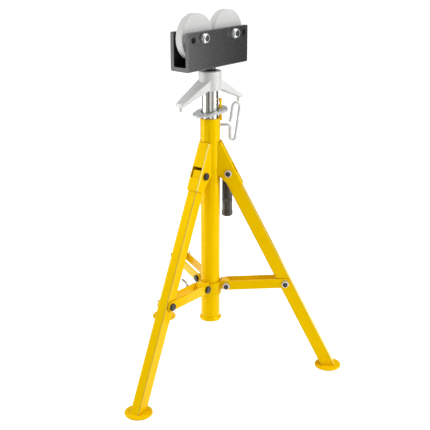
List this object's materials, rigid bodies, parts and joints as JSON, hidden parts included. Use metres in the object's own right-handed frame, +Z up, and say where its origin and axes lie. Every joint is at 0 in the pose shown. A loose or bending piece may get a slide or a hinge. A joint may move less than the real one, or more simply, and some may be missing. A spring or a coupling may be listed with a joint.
{
  "type": "pipe roller support",
  "caption": "Folding tripod pipe stand with a sliding post, a screw-adjusted handle nut and a channel head with two free-turning rollers that carry a pipe",
  "frame": {"origin": "on the floor, on the mast's axis", "axes": "+Z up along the mast; +X towards the right-hand leg"},
  "size_m": [0.5296, 0.601, 0.9114],
  "materials": {
    "yellow_powder_coat": "semi-gloss powder coat",
    "black_oxide_steel": "black oxide",
    "zinc_steel": "bright zinc plate",
    "bright_zinc_tube": "bright plated tube",
    "cast_aluminium": "as-cast",
    "black_powder_coat": "satin powder coat",
    "white_nylon": "machined nylon",
    "bronze": "plain bronze",
    "black_rubber": "moulded rubber"
  },
  "bodies": {
    "mast": {"mast_tube": "yellow_powder_coat", "mast_end_ring": "yellow_powder_coat", "bracket_right": "yellow_powder_coat", "bracket_rear": "yellow_powder_coat", "bracket_front": "yellow_powder_coat", "pivot_bolts": "black_oxide_steel", "pivot_nuts": "zinc_steel", "hook_bar": "yellow_powder_coat", "handle_bar": "yellow_powder_coat", "handle_grip": "black_rubber"},
    "post": {"post_tube": "bright_zinc_tube", "thrust_washer": "zinc_steel"},
    "nut": {"handle_nut": "cast_aluminium"},
    "screw": {"lift_screw": "black_powder_coat", "swivel_washer": "zinc_steel", "swivel_bolt": "black_oxide_steel"},
    "head": {"head_channel": "black_powder_coat", "axle_bolts": "black_oxide_steel", "axle_nuts": "zinc_steel", "axle_spacers": "zinc_steel"},
    "near_roller": {"roller_near": "white_nylon", "bush_near": "bronze"},
    "far_roller": {"roller_far": "white_nylon", "bush_far": "bronze"},
    "plate": {"lock_plate": "zinc_steel"},
    "pin": {"height_pin": "zinc_steel"},
    "collar": {"collar_ring": "yellow_powder_coat", "collar_lugs": "yellow_powder_coat", "collar_bolts": "black_oxide_steel", "collar_nuts": "zinc_steel"},
    "wing": {"wing_screw": "zinc_steel"},
    "leg_right": {"leg_right": "yellow_powder_coat", "foot_right": "yellow_powder_coat", "brace_pin_right": "black_oxide_steel"},
    "brace_right": {"straps_right": "yellow_powder_coat", "strap_head_right": "black_oxide_steel", "strap_nut_right": "zinc_steel"},
    "leg_rear": {"leg_rear": "yellow_powder_coat", "foot_rear": "yellow_powder_coat", "brace_pin_rear": "black_oxide_steel"},
    "brace_rear": {"straps_rear": "yellow_powder_coat", "strap_head_rear": "black_oxide_steel", "strap_nut_rear": "zinc_steel"},
    "leg_front": {"leg_front": "yellow_powder_coat", "foot_front": "yellow_powder_coat", "brace_pin_front": "black_oxide_steel"},
    "brace_front": {"straps_front": "yellow_powder_coat", "strap_head_front": "black_oxide_steel", "strap_nut_front": "zinc_steel"}
  },
  "joints": [
    {"name": "post_slide", "type": "slide", "parent": "mast", "child": "post", "axis": [0, 0, 1], "range_m": [0, 0.35]},
    {"name": "nut_turn", "type": "hinge", "parent": "post", "child": "nut", "pos_m": [0, 0, 0.75], "axis": [0, 0, -1], "range_deg": [0, 3600]},
    {"name": "screw_lift", "type": "slide", "parent": "post", "child": "screw", "axis": [0, 0, 1], "range_m": [0, 0.06]},
    {"name": "head_swivel", "type": "hinge", "parent": "screw", "child": "head", "pos_m": [0, 0, 0.7834], "axis": [0, 0, 1], "continuous": true},
    {"name": "near_roller_spin", "type": "hinge", "parent": "head", "child": "near_roller", "pos_m": [-0.03272, -0.04421, 0.8574], "axis": [-0.8039, 0.5948, 0], "continuous": true},
    {"name": "far_roller_spin", "type": "hinge", "parent": "head", "child": "far_roller", "pos_m": [0.03272, 0.04421, 0.8574], "axis": [-0.8039, 0.5948, 0], "continuous": true},
    {"name": "plate_tilt", "type": "hinge", "parent": "mast", "child": "plate", "pos_m": [0.02395, 0.01383, 0.679], "axis": [-0.5, 0.866, 0], "range_deg": [0, 10]},
    {"name": "pin_push", "type": "slide", "parent": "mast", "child": "pin", "axis": [-1, 0, 0], "range_m": [0, 0.006]},
    {"name": "leg_front_fold", "type": "hinge", "parent": "mast", "child": "leg_front", "pos_m": [-0.0224, -0.0388, 0.5243], "axis": [0.866, -0.5, 0], "range_deg": [0, 18]},
    {"name": "leg_right_fold", "type": "hinge", "parent": "mast", "child": "leg_right", "pos_m": [0.0448, 0, 0.5243], "axis": [0, 1, 0], "range_deg": [0, 18]},
    {"name": "leg_rear_fold", "type": "hinge", "parent": "mast", "child": "leg_rear", "pos_m": [-0.0224, 0.0388, 0.5243], "axis": [-0.866, -0.5, 0], "range_deg": [0, 18]},
    {"name": "collar_slide", "type": "slide", "parent": "mast", "child": "collar", "axis": [0, 0, 1], "range_m": [0, 0.1185]},
    {"name": "brace_front_fold", "type": "hinge", "parent": "collar", "child": "brace_front", "pos_m": [-0.0207, -0.03585, 0.227], "axis": [0.866, -0.5, 0], "range_deg": [0, 72.85]},
    {"name": "brace_right_fold", "type": "hinge", "parent": "collar", "child": "brace_right", "pos_m": [0.0414, 0, 0.227], "axis": [0, 1, 0], "range_deg": [0, 72.85]},
    {"name": "brace_rear_fold", "type": "hinge", "parent": "collar", "child": "brace_rear", "pos_m": [-0.0207, 0.03585, 0.227], "axis": [-0.866, -0.5, 0], "range_deg": [0, 72.85]},
    {"name": "wing_turn", "type": "hinge", "parent": "collar", "child": "wing", "pos_m": [-0.04, 0, 0.214], "axis": [-1, 0, 0], "range_deg": [0, 720]}
  ],
  "couplings": [
    {"joint": "screw_lift", "follows": "nut_turn", "m_per_rad": 0.00095493},
    {"joint": "leg_front_fold", "follows": "collar_slide", "rad_per_m": 2.6513},
    {"joint": "brace_front_fold", "follows": "collar_slide", "rad_per_m": 10.73},
    {"joint": "leg_right_fold", "follows": "collar_slide", "rad_per_m": 2.6513},
    {"joint": "brace_right_fold", "follows": "collar_slide", "rad_per_m": 10.73},
    {"joint": "leg_rear_fold", "follows": "collar_slide", "rad_per_m": 2.6513},
    {"joint": "brace_rear_fold", "follows": "collar_slide", "rad_per_m": 10.73}
  ]
}
